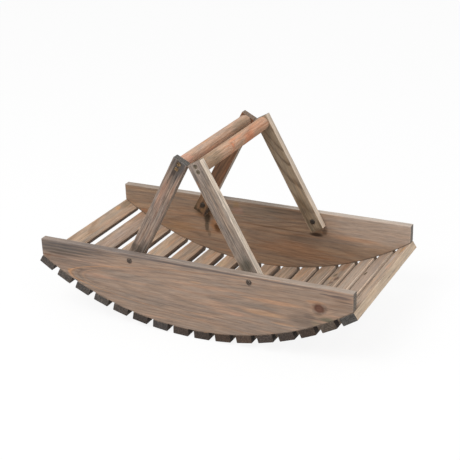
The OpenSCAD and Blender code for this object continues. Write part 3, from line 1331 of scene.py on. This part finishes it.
@dataclass
class Pivots:
    """Bolts, sleeve nuts and washers of the four pivots."""

    bolt_steel: MetalFinish
    sleeve_steel: MetalFinish
    washer_steel: MetalFinish
    bolt_diameter: float = 4 * MM
    bolt_length: float = 20 * MM
    bolt_head: float = 8.6 * MM
    bolt_head_height: float = 1.8 * MM
    sleeve_diameter: float = 6 * MM
    sleeve_head: float = 8 * MM
    sleeve_head_height: float = 1.2 * MM
    sleeve_length: float = 25.3 * MM
    bore_length: float = 19.5 * MM
    socket_width: float = 2.5 * MM
    socket_depth: float = 1.1 * MM
    points: int = 48

    def head(self, radius: float, height: float, depth: float) -> np.ndarray:
        """Profile of a low round head with a six-sided socket, from the socket's floor to the rim.

        The head's height falls with the radius to the power 2.4, as on a dome with a flat
        middle. The socket's walls are straight, its rim is eased, and the head's rim is a
        small roll.

        Args:
            radius: radius of the head.
            height: height of the head.
            depth: depth of the socket.

        Returns:
            Rows of height over the head's base, radius, and 1 where it is six-sided, else 0.
        """
        flat = 0.5 * self.socket_width
        out = np.linspace(flat + 0.35 * MM, radius - 0.15 * MM, 9)
        floor = height - depth
        top, *dome = height * (1.0 - 0.72 * (np.append(flat, out) / radius) ** 2.4)
        return np.array([
            [floor, 0.0, 0], [floor, 0.6 * flat, 1], [floor, 0.96 * flat, 1],
            [top - 0.12 * MM, flat, 1], [top, flat + 0.1 * MM, 1],
            *([level, away, 0] for level, away in zip(dome, out)),
            [0.16 * height, radius, 0], [0.0, radius - 0.08 * MM, 0]])

    def turned(self, head: np.ndarray, tail: list[tuple[float, float]], base: float, out: int,
               turns: tuple[float, float]) -> Surface:
        """Turns one profile at each of the four pivots.

        A point of the profile is carried round the axis at its own radius. Where the profile is
        six-sided, that is the radius of a hexagon's flats: the radius over the cosine of the
        angle from the middle of the nearest flat.

        Args:
            head: rows of height over the head's base, radius and 1 where it is six-sided.
            tail: the rest of the profile down to its pole, as height and radius.
            base: distance of the head's base from the middle of the tray.
            out: 1 where the head faces away from the middle of the tray, -1 towards it.
            turns: angle of the socket, and what it gains from the left end to the middle.

        Returns:
            The four closed shells.
        """
        height, radius, sides = np.concatenate([head, [(*row, 0) for row in tail]]).T[..., None]
        angle = np.arange(self.points) * FULL / self.points
        sixth = (angle + FULL / 12.0) % (FULL / 6.0) - FULL / 12.0
        radius = np.where(sides > 0, radius / np.cos(sixth), radius + 0.0 * angle)
        rings = np.stack([height + 0.0 * radius, radius * np.cos(angle),
                          radius * np.sin(angle)], -1)
        shells = []
        for end in End:
            pivot = next(j["pos_m"] for j in frame["joints"]
                         if j["child"] == f"{end.name.lower()}_handle")
            turn = turns[0] + turns[1] * end.value
            for side in Side:
                axes = PieceFrame((pivot[0], side.value * base, pivot[2]),
                                  (0.0, out * side.value, 0.0),
                                  (math.cos(turn), 0.0, math.sin(turn)))
                shells.append(Surface.tube(axes.place(rings)))
        return Surface.joined(shells)

    def bolts(self) -> None:
        """Builds the four bolts: the head outside the board, then the shank and its blunt tip."""
        shank, tip = 0.5 * self.bolt_diameter, -self.bolt_length
        tail = [(0.0, shank + 0.2 * MM), (-0.2 * MM, shank), (tip + 0.4 * MM, shank),
                (tip, shank - 0.4 * MM), (tip, 0.0)]
        head = self.head(0.5 * self.bolt_head, self.bolt_head_height, self.socket_depth)
        board_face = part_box("back_board")[1].y
        add_piece(self.turned(head, tail, board_face, 1, (1.0, 1.0)), "pivot_bolt_heads",
                  self.bolt_steel.material(), "tray", "pivot_bolts")

    def sleeves(self) -> None:
        """Builds the four sleeve nuts: a low head inside the arm and a bored barrel through it."""
        outer, bore = 0.5 * self.sleeve_diameter, 0.5 * self.bolt_diameter
        end = -self.sleeve_length
        floor = end + self.bore_length
        tail = [(0.0, outer + 0.15 * MM), (-0.15 * MM, outer), (end + 0.2 * MM, outer),
                (end, outer - 0.2 * MM), (end, bore + 0.1 * MM), (end + 0.1 * MM, bore),
                (floor, bore), (floor, 0.0)]
        head = self.head(0.5 * self.sleeve_head, self.sleeve_head_height,
                         0.9 * self.sleeve_head_height)
        arm_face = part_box("pivot_sleeves")[1].y - self.sleeve_length
        add_piece(self.turned(head, tail, arm_face, -1, (0.0, 0.4)), "pivot_sleeve_nuts",
                  self.sleeve_steel.material(), "tray", "pivot_sleeves")

    def build(self) -> None:
        """Builds the bolts and sleeve nuts and dresses the washers."""
        self.bolts()
        self.sleeves()
        dress_node("pivot_washers", self.washer_steel.material())


@dataclass
class Fastenings:
    """Grip screws and slat nails, which keep their CAD shapes."""

    screw_metals: dict[End, MetalFinish]
    nail_metal: MetalFinish

    def build(self) -> None:
        """Dresses the screws of both grips and the nails of the slats."""
        for end, metal in self.screw_metals.items():
            dress_node(f"{end.name.lower()}_grip_screws", metal.material())
        dress_node("slat_nails", self.nail_metal.material())


@dataclass(frozen=True)
class Lamp:
    """Square soft lamp that faces the trug.

    direction is where it is, seen from the trug, away its distance and size the length of its
    sides. level is the brightness that it gives a white surface facing it.
    """

    name: str
    direction: Triple
    away: float
    size: float
    level: float


@dataclass
class Studio:
    """Floor, light and camera."""

    azimuth: float = math.radians(27.01)
    elevation: float = math.radians(24.47)
    roll: float = math.radians(-2.12)
    distance: float = 1.7176
    target: Triple = (0.0, 0.0, 0.077106)
    focal_pixels: float = 1127.1
    image_size: int = 460
    axis_pixel: tuple[float, float] = (228.28, 255.18)
    sensor: float = 36.0
    view_depth: float = 100.0
    floor_size: float = 24.0
    floor_z: float = -0.2 * MM
    ambient: float = 0.66
    floor_bounce: float = 0.55
    floor_glow: float = 0.88
    lamps: tuple[Lamp, ...] = (
        Lamp("key_lamp", (-0.22, -0.6, 0.77), 2.4, 1.3, 0.50),
        Lamp("side_lamp", (0.9, -0.2, 0.5), 2.6, 1.8, 0.16))

    def camera(self) -> None:
        """Sets the camera at the photograph's angle, with the small shift of its framing."""
        data = bpy.data.cameras.new("photo_camera")
        data.sensor_width = self.sensor
        data.lens = self.focal_pixels * self.sensor / self.image_size
        middle = 0.5 * self.image_size
        data.shift_x = (middle - self.axis_pixel[0]) / self.image_size
        data.shift_y = (self.axis_pixel[1] - middle) / self.image_size
        data.clip_end = self.view_depth
        az, el = self.azimuth, self.elevation
        back = Vector((math.sin(az) * math.cos(el), -math.cos(az) * math.cos(el), math.sin(el)))
        right = Vector((math.cos(az), math.sin(az), 0.0))
        up = back.cross(right)
        c, s = math.cos(self.roll), math.sin(self.roll)
        turn = Matrix((c * right + s * up, c * up - s * right, back)).transposed().to_4x4()
        place = Matrix.Translation(Vector(self.target) + self.distance * back) @ turn
        bpy.context.scene.camera = link("photo_camera", data, place)

    def light(self, lamp: Lamp) -> None:
        """Adds a lamp.

        Args:
            lamp: the lamp.
        """
        data = bpy.data.lights.new(lamp.name, "AREA")
        data.size = lamp.size
        data.energy = lamp.level * (math.pi * lamp.away) ** 2
        toward = Vector(lamp.direction).normalized()
        link(lamp.name, data, Matrix.Translation(Vector(self.target) + lamp.away * toward)
             @ toward.to_track_quat("Z", "Y").to_matrix().to_4x4())

    @staticmethod
    def seen(g: Graph) -> Wire:
        """Returns 1 for camera, glossy and transmission rays, else 0."""
        camera, glossy, through = (
            g.wire("ShaderNodeLightPath", {}, f"Is {kind} Ray")
            for kind in ("Camera", "Glossy", "Transmission"))
        return g.math("MAXIMUM", g.math("MAXIMUM", camera, glossy), through)

    def world(self) -> None:
        """White to the eye, and an even dimmer light on the trug."""
        world = bpy.data.worlds.new("white_room")
        g = Graph(world)
        level = self.seen(g).scaled(1.0 - self.ambient, self.ambient)
        white = g.wire("ShaderNodeBackground", {"Color": "#ffffff", "Strength": level})
        g.node("ShaderNodeOutputWorld", {"Surface": white})
        bpy.context.scene.world = world

    def floor(self) -> None:
        """Plain pale floor: mostly white by itself, with part of the object's shadow kept."""
        half = 0.5 * self.floor_size
        corners = [(x, y, self.floor_z) for x, y in
                   ((-half, -half), (half, -half), (half, half), (-half, half))]
        floor = Surface(np.array(corners), [[0, 1, 2, 3]]).to_object("studio_floor")
        g = Graph(bpy.data.materials.new("pale_floor"))
        seen = self.seen(g)
        level = seen.scaled(1.0 - self.floor_bounce, self.floor_bounce)
        soft = g.wire("ShaderNodeBsdfDiffuse", {"Color": g.vector(level, level, level)})
        glow = g.wire("ShaderNodeEmission", {"Color": "#ffffff"})
        mixed = g.wire("ShaderNodeMixShader", {0: seen * self.floor_glow, 1: soft, 2: glow})
        g.node("ShaderNodeOutputMaterial", {"Surface": mixed})
        floor.data.materials.append(g.owner)

    def build(self) -> None:
        """Sets up the whole studio."""
        bpy.context.scene.view_settings.view_transform = "Standard"
        self.camera()
        for lamp in self.lamps:
            self.light(lamp)
        self.world()
        self.floor()
        LOG.info("studio is set")


# The trug's finishes: mostly the wood's own colours, with painted shade and light marked.

OLIVE_BLACK = "#3e3426"
# Painted shade for the countersunk screw recesses and round them.
SCREW_RECESS_SHADE = "#38322e"

FRONT_BOARD = WoodFinish(
    "front_board_pine", spring="#a48c7a", summer="#806b5c", grey="#83786f", warm="#bc9174",
    edge="#a8998c", end="#6c6259", pith=(-46, -60), drift=(0.006, 0.03), ring_gap=2.4, wander=9,
    wobble=1.2, summer_share=0.6, grey_share=0.45, edge_share=0.8, crack_share=0.55, streaks=0.3,
    fine=1, grain=0.9, rubbed=0.3, seam=0.5, seed=11,
    knots=(Knot(201, -31, 8, 4, "#604235", hard=0.55, halo=0.1, rim=0.3),),
    stains_and_shades=(
        StainAndShade(-205, -30, 80, 24, "#7e695c", 0.5),
        StainAndShade(-214, -8, 74, 14, "#685e57", 0.75, streaky=2.2),
        StainAndShade(-190, -4, 52, 1.6, "#5a5556", 0.6),
        StainAndShade(-222, -9, 34, 1.5, "#565050", 0.55),
        StainAndShade(-184, -9.5, 26, 1.4, "#565252", 0.5),
        StainAndShade(-205, -14.5, 44, 1.6, "#5c524a", 0.5),
        StainAndShade(-218, -19.5, 26, 2.2, "#54463c", 0.55),
        StainAndShade(-226, -25, 26, 1.6, "#78543e", 0.5),
        StainAndShade(-241, -26, 9, 4, "#80583e", 0.5),
        StainAndShade(-148, -25, 68, 1.5, "#c49e86", 0.5, streaky=1),
        StainAndShade(12, -26, 12, 2.2, "#be987a", 0.6, streaky=1),
        StainAndShade(40, -2.9, 210, 2, "#685e5a", 0.85, streaky=1.2),
        StainAndShade(0, -68, 90, 2.4, "#88766a", 0.5),
        StainAndShade(75, -65, 18, 4.5, "#c0947a", 0.5),
        StainAndShade(-203, -45, 5, 5, "#b48864", 0.7, streaky=0.8),
        StainAndShade(-186, -39, 14, 1.8, "#685244", 0.55, streaky=0.8),
        StainAndShade(-187, -58, 10, 2.4, "#6c5646", 0.5, streaky=0.8),
        StainAndShade(-150, -44, 40, 4, "#b8927c", 0.45),
        StainAndShade(229, -8.5, 20, 3, "#585050", 0.75),
        StainAndShade(208, -8, 10, 1.2, "#605650", 0.7, streaky=0.8),
        StainAndShade(236, -15, 18, 1.6, "#5c5048", 0.75, streaky=1.2),
        StainAndShade(192, -30, 4, 4, "#be8a68", 0.5, streaky=0.6),
        StainAndShade(206, -33, 3.2, 5, "#422e24", 0.6, streaky=0.6),
        StainAndShade(211.5, -29, 3.6, 4, "#705444", 0.6, streaky=0.8),
        StainAndShade(199, -39.5, 8, 3, "#625446", 0.6, streaky=0.8),
        StainAndShade(165, -30, 90, 26, "#987e6a", 0.4),
        StainAndShade(196, -22, 16, 3.2, "#ba8a66", 0.5),
        StainAndShade(195, -54, 7, 4.5, "#bea584", 0.7, streaky=0.8),
        StainAndShade(180, -52, 30, 13, "#78685c", 0.65, streaky=1.2),
        StainAndShade(186, -46, 10, 5, "#685a52", 0.5, streaky=1.6),
        StainAndShade(213, -46, 13, 4.2, "#666652", 0.65, streaky=1),
        StainAndShade(112, -45, 42, 4.5, "#7e7268", 0.6),
        StainAndShade(135, -34.5, 50, 3.6, "#bc9274", 0.75, streaky=2.2),
        StainAndShade(116, -54, 36, 3.6, "#ba9272", 0.7, streaky=2.2),
        StainAndShade(146, -66, 26, 3.2, "#ba9274", 0.65, streaky=2.2),
        StainAndShade(226, -26, 24, 5, "#a08068", 0.4, streaky=1.6),
        StainAndShade(228, -22, 24, 15, "#8a7464", 0.4),
        StainAndShade(-100, 0, 105, 2, "#6a615e", 0.7, Face.BOTH, 3),
        StainAndShade(30, 0, 90, 2, "#7c7068", 0.45, Face.BOTH, 2.2),
        StainAndShade(-225, 0, 40, 2, "#84766e", 0.55, Face.BOTH, 1.8),
    ),
    flames=(Flame(-205, -46, "#c0926e", 0.7, gap=24, reach=34),
            Flame(-200.5, -46, "#6e5a4c", 0.45, gap=12, reach=34)))

BACK_BOARD = WoodFinish(
    "back_board_pine", spring="#a0856d", summer="#7a604d", grey="#807063", warm="#ac805f",
    edge="#c6baae", end="#746c64", pith=(-52, -80), drift=(0.02, 0.03), ring_gap=2.4, wander=10,
    wobble=1.4, summer_share=0.6, grey_share=0.5, crack_share=0.4, edge_share=0.8, streaks=0.45,
    fine=1, grain=1, seam=0.8, seed=23,
    stains_and_shades=(
        StainAndShade(205, -14, 120, 36, "#baa798", 0.75, streaky=1),
        StainAndShade(-10, -18, 62, 17, "#807366", 0.6),
        StainAndShade(40, -7, 46, 5, "#685d52", 0.6),
        StainAndShade(70, -49, 46, 6, "#745f4e", 0.35),
        StainAndShade(20, -37, 60, 1.8, "#6a5442", 0.6, streaky=1),
        StainAndShade(115, -45, 40, 3, "#8c7a6c", 0.5),
        StainAndShade(165, -36, 50, 4.5, "#be9474", 0.6),
        StainAndShade(-175, -12, 60, 3, "#82756a", 0.5),
        StainAndShade(-215, -42, 9, 5, "#a67452", 0.5),
        StainAndShade(60, -70, 80, 14, "#a27858", 0.5),
        StainAndShade(-150, -62, 30, 10, "#a68462", 0.5),
        # Painted shadow of the right back arm's lower end, below it and to its right.
        StainAndShade(97, -37.5, 13, 3.6, "#3e2e22", 0.9, streaky=0.5),
        StainAndShade(111, -31, 5, 6, "#5c4a3a", 0.5, streaky=0.8),
        StainAndShade(-104, -26, 17, 15, "#7a5a3a", 0.6, streaky=0.8),
        StainAndShade(-96, -38, 7, 12, OLIVE_BLACK, 0.85, streaky=0.5),
        StainAndShade(-97, -53, 4.6, 12, "#4a4034", 0.75, streaky=0.4),
        StainAndShade(-93, -66, 4, 7, "#605446", 0.5, streaky=0.4),
        StainAndShade(-80, -49, 12, 13, "#a47650", 0.75, streaky=0.8),
        StainAndShade(-77, -53, 7.5, 9, "#5c3c20", 0.9, streaky=0.6),
        StainAndShade(-42, -8, 7, 7, "#967a54", 0.5),
        StainAndShade(-40, -18, 10, 7, "#a48070", 0.5),
        StainAndShade(-30, 0, 105, 2.2, "#82766b", 0.8, Face.BOTH, 1.6),
        StainAndShade(-200, 0, 80, 2.2, "#8e7f72", 0.75, Face.BOTH, 1.4),
    ))

SLATS = WoodFinish(
    "slat_pine", spring="#bea38a", summer="#967a64", grey="#9c9084", warm="#cc9e7d", end="#423832",
    pith=(4, -30), drift=(0.012, 0.02), ring_gap=2.6, wander=12, wobble=2.2, grey_share=0.55,
    edge_share=1, crack_share=0.7, streaks=0.7, grain=0.8, hue=0.12, fine=1.1, rubbed=0.2, seed=37,
    stains_and_shades=(
        StainAndShade(83, 6.7, 9, 3.6, "#d4a270", 0.6, streaky=0.9, piece=1),
        StainAndShade(106, 4, 13, 7, "#96846c", 0.6, piece=1),
        StainAndShade(30, 0, 100, 12, "#b6a092", 0.55, streaky=1, piece=2),
        StainAndShade(90, -2, 22, 8, "#bc9c82", 0.5, piece=6),
        StainAndShade(88, 4, 14, 6, "#c4a886", 0.5, streaky=1, piece=7),
        StainAndShade(63, 9.5, 7, 3.6, "#c4a078", 0.8, streaky=0.6, piece=13),
        StainAndShade(57, -5, 8, 4.6, "#725a4a", 0.85, streaky=0.8, piece=13),
        StainAndShade(74, 4, 8, 4, "#70624e", 0.8, streaky=0.8, piece=13),
        StainAndShade(44, -1, 5, 4, "#766052", 0.8, streaky=0.8, piece=13),
        StainAndShade(104, -3, 18, 7, "#ac8060", 0.65, piece=13),
        StainAndShade(60, 0, 90, 12, "#b2a294", 0.6, streaky=1, piece=14),
        StainAndShade(40, 0, 100, 12, "#ac988a", 0.7, streaky=1, piece=15),
        StainAndShade(47, 7.8, 7, 3, "#54442c", 0.95, streaky=0.5, piece=15),
        StainAndShade(99, -4.7, 15, 5, "#b88e64", 0.8, streaky=1, piece=16),
        StainAndShade(39, -1, 11, 5, "#cca086", 0.6, streaky=1, piece=16),
        StainAndShade(78, 5, 18, 4.6, "#b4a6a0", 0.7, streaky=1, piece=16),
    ))

# The pale edge colours of the right arms are partly painted light on their upward narrow faces.
ARM_FINISHES = {
    (End.LEFT, Side.FRONT): WoodFinish(
        "left_front_arm_pine", spring="#968172", summer="#68584e", grey="#7a726b", warm="#ae846e",
        edge="#908174", end="#5c5854", pith=(22, -30), drift=(0.01, 0.02), ring_gap=2,
        crack="#4a3e38", crack_share=1, fine=1.8, streaks=1.5, grain=2.1, hue=0.16, warm_share=0.65,
        seed=41,
        stains_and_shades=(
            StainAndShade(176, 0, 30, 16, "#544c47", 0.85, streaky=1),
            StainAndShade(26, -6, 16, 6, "#58524c", 0.7),
            StainAndShade(16, 2, 9, 12, "#52483e", 0.7, streaky=0.8),
            StainAndShade(120, 6, 30, 2.4, "#b48670", 0.5),
            StainAndShade(96, -1, 46, 1.4, "#ac8672", 0.5, streaky=1),
            StainAndShade(160, 1, 6, 3.4, "#42362e", 0.75, streaky=0.8),
            # Painted shade in and round the two countersunk screw recesses.
            StainAndShade(168, -0.6, 5.4, 4.8, SCREW_RECESS_SHADE, 0.85, streaky=0.4),
            StainAndShade(176.4, -0.6, 5.4, 4.8, SCREW_RECESS_SHADE, 0.85, streaky=0.4),
            StainAndShade(172, -9, 16, 2.6, "#484646", 0.6),
        )),
    (End.RIGHT, Side.FRONT): WoodFinish(
        "right_front_arm_pine", spring="#938274", summer="#685c53", grey="#786e67", warm="#ae947e",
        edge="#dacab8", end="#76695c", pith=(-26, -20), drift=(0.01, 0.01), ring_gap=2,
        crack="#4a443f", crack_share=1, edge_share=0.95, fine=1.9, streaks=1, grain=2, hue=0.1,
        seed=53,
        stains_and_shades=(
            StainAndShade(172, 2, 24, 13, "#96867c", 0.6, streaky=1.4),
            StainAndShade(24, 0, 18, 11, "#6a6156", 0.6, streaky=1.2),
            StainAndShade(20, 0, 10, 12, "#564f43", 0.7, streaky=0.8),
            StainAndShade(110, -8.5, 75, 2.4, "#a89888", 0.6),
            StainAndShade(72, 0, 40, 2, "#605952", 0.6),
            StainAndShade(126, -2, 32, 1.8, "#625c56", 0.6),
            StainAndShade(160, 8, 14, 2.6, "#685c56", 0.5),
            StainAndShade(151, 9, 6, 2.4, "#967054", 0.6, streaky=0.8),
            # Pale patches over the screw recesses: painted light that lifts their shade.
            StainAndShade(168, 0.8, 5.2, 5, "#9c9286", 0.6, streaky=0.4),
            StainAndShade(176.4, 0.8, 5.2, 5, "#9c9286", 0.5, streaky=0.4),
        )),
    (End.LEFT, Side.BACK): WoodFinish(
        "left_back_arm_pine", spring="#74533b", summer="#4c3426", grey="#564437", warm="#925a3a",
        edge="#bcb0a3", end="#786658", pith=(16, -30), ring_gap=2.8, fine=1.3, streaks=1.1,
        grain=1.3, warm_share=0.7, seed=61,
        stains_and_shades=(
            StainAndShade(4, 2, 28, 14, "#7a5d44", 0.85, streaky=0.8),
            StainAndShade(-14, 3, 3.6, 11, "#3e3020", 0.85, streaky=0.5),
            StainAndShade(-12, 10, 7, 3.4, "#463826", 0.8, streaky=0.5),
            StainAndShade(0, 10, 12, 2.4, "#5c4a34", 0.6, streaky=0.6),
            StainAndShade(-7, -4, 8, 4, "#7a5c3a", 0.6, streaky=0.8),
            StainAndShade(2, -9, 14, 2.4, "#5a422c", 0.6, streaky=0.8),
            # Painted shade round the sleeve head, so that the pivot looks like a deep dark hole.
            StainAndShade(-1, 0.5, 7, 5.8, "#382e24", 0.9, streaky=0.6),
            StainAndShade(-6, -11.5, 12, 3, "#342c24", 0.9, Face.BOTH, 0.6),
        )),
    (End.RIGHT, Side.BACK): WoodFinish(
        "right_back_arm_pine", spring="#9a8770", summer="#5a4735", grey="#8a7b6b", warm="#a88a6c",
        edge="#d4c2af", end="#7f7266", pith=(-13, -60), drift=(0, 0.09), ring_gap=3.4, wander=6,
        wobble=2, late=0.55, edge_share=0.95, summer_share=0.8, grey_share=0.45, fine=1.3,
        streaks=0.6, grain=1.2, seed=71,
        stains_and_shades=(
            StainAndShade(25, 4, 28, 11, "#6c5a44", 0.65, streaky=1),
            StainAndShade(21, 5, 6, 5, "#56483e", 0.35, streaky=1),
            StainAndShade(-4, 6, 14, 5, "#6c5e4a", 0.65),
            StainAndShade(-10, -9, 12, 2.4, "#5c4e38", 0.6, streaky=0.8),
            StainAndShade(-14, 0, 2.6, 12, "#6e5e4a", 0.6, streaky=0.6),
            # Painted shade round the sleeve head, so that the pivot looks like a deep dark hole.
            StainAndShade(0, 0, 5.6, 5.4, "#483e32", 0.7, streaky=0.6),
        )),
}

GRIP_FINISHES = {
    End.LEFT: WoodFinish(
        "left_grip_pine", spring="#c4a28a", summer="#a68064", grey="#ac9b8c", warm="#d09c80",
        pith=(3, -30), drift=(0.01, 0.01), ring_gap=2.6, grey_share=0.4, crack_share=0.6, fine=1.8,
        streaks=0.6, grain=1.5, hue=0.16, seed=83,
        stains_and_shades=(
            StainAndShade(-94, -2, 12, 12, "#ce9680", 0.5, Face.BOTH),
            StainAndShade(-28, 2, 16, 4, "#cc966a", 0.5, Face.BOTH),
            StainAndShade(70, -8, 34, 7, "#8c7a64", 0.6, Face.BOTH),
        )),
    End.RIGHT: WoodFinish(
        "right_grip_pine", spring="#c9a287", summer="#ac7252", grey="#9e8a72", warm="#d8926a",
        pith=(2, -16), drift=(0.03, 0.03), ring_gap=2.4, grey_share=0.5, crack_share=0.6, fine=1.8,
        streaks=0.8, grain=1.5, hue=0.18, seed=97,
        knots=(Knot(-18, -8, 3, 3, "#b27658", hard=0.3, halo=0.2, rim=0.25),),
        stains_and_shades=(
            StainAndShade(64, -6, 34, 4, "#d09270", 0.45, Face.BOTH, 2),
            StainAndShade(36, -9, 20, 3, "#c47046", 0.55, Face.BOTH, 1.2),
            StainAndShade(0, -3, 30, 3, "#da9670", 0.55, Face.BOTH, 1.6),
            StainAndShade(-84, -4, 38, 14, "#947e66", 0.75, Face.BOTH, 1.2),
        )),
}

DARK_STEEL = MetalFinish("blackened_steel", "#4e453f", "#786b62", 0.5)
# Dark steel, made near black as painted shade, so the sleeve heads look like deep holes.
SLEEVE_STEEL_WITH_SHADE = MetalFinish("black_sleeve_steel", "#322b25", "#4a4036", 0.6, 0.4)
WASHER_STEEL = MetalFinish("washer_zinc", "#969490", "#706c66", 0.45)
NAIL_STEEL = MetalFinish("slat_nail_steel", "#84807a", "#605246", 0.5)
SCREW_METALS = {
    End.LEFT: MetalFinish("yellow_zinc_dulled", "#9e8262", "#3c322a", 0.45),
    End.RIGHT: MetalFinish("yellow_zinc_dark", "#887b6b", "#403933", 0.45),
}


def main() -> None:
    """Builds the trug piece by piece and then the studio."""
    logging.basicConfig(level=logging.INFO, format="%(name)s: %(message)s")
    front = SideBoard(Side.FRONT, FRONT_BOARD, 101)
    front.build()
    SideBoard(Side.BACK, BACK_BOARD, 102).build()
    FloorSlats(front.arc_radius, front.arc_middle_z, SLATS).build()
    for end in End:
        arms = {side: ARM_FINISHES[(end, side)] for side in Side}
        SwingHandle(end, arms, GRIP_FINISHES[end]).build()
    Pivots(DARK_STEEL, SLEEVE_STEEL_WITH_SHADE, WASHER_STEEL).build()
    Fastenings(SCREW_METALS, NAIL_STEEL).build()
    Studio().build()


if __name__ == "__main__":
    main()
